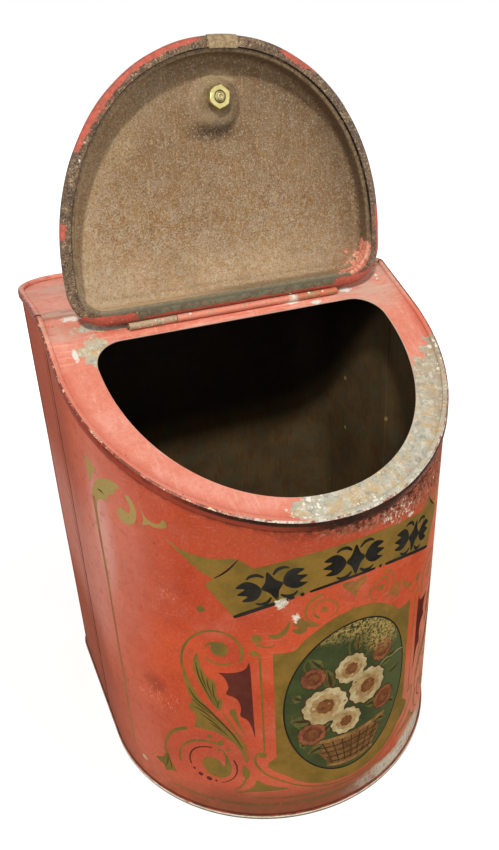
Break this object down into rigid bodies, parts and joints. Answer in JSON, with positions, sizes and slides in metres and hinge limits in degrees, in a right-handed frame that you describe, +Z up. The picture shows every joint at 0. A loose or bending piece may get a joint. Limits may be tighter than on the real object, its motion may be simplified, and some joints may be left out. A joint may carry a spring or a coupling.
{
  "type": "counter tea bin",
  "caption": "Bow-fronted sheet-metal tea bin with a sloping top, a D-shaped mouth and a shallow D-shaped lid on a wire hinge.",
  "frame": {"origin": "centre of the bin's bounding box, at the foot it stands on", "axes": "+X to the right of someone facing the bowed front, -Y towards the bowed front, +Z up"},
  "size_m": [0.2576, 0.2686, 0.479],
  "materials": {
    "front_sheet": "worn orange-red paint with stencilled ornament",
    "back_sheet": "worn orange-red paint",
    "bottom_panel": "dull old tinplate",
    "top_panel": "faded red paint, worn to the metal at the front",
    "top_seam_bead": "worn red paint with bare crests",
    "foot_bead": "paint worn to dull tinplate",
    "hinge_leaf": "faded red paint",
    "hinge_wire": "dull iron wire",
    "lid_panel": "bare tinplate gone brown inside, painted red outside",
    "lid_rim_band": "red paint worn to brown metal",
    "hinge_strap_left": "worn paint over tinplate",
    "hinge_strap_right": "worn paint over tinplate",
    "lid_knob": "polished",
    "knob_stud": "dark, oiled",
    "knob_nut": "satin"
  },
  "bodies": {
    "bin": {"front_sheet": "front_sheet", "back_sheet": "back_sheet", "bottom_panel": "bottom_panel", "top_panel": "top_panel", "top_seam_bead": "top_seam_bead", "foot_bead": "foot_bead", "hinge_leaf": "hinge_leaf", "hinge_wire": "hinge_wire"},
    "lid": {"lid_panel": "lid_panel", "lid_rim_band": "lid_rim_band", "hinge_strap_left": "hinge_strap_left", "hinge_strap_right": "hinge_strap_right", "lid_knob": "lid_knob", "knob_stud": "knob_stud", "knob_nut": "knob_nut"}
  },
  "joints": [
    {"name": "lid_hinge", "type": "hinge", "parent": "bin", "child": "lid", "pos_m": [0, 0.0125, 0.31786], "axis": [1, 0, 0], "range_deg": [0, 121.8]}
  ]
}
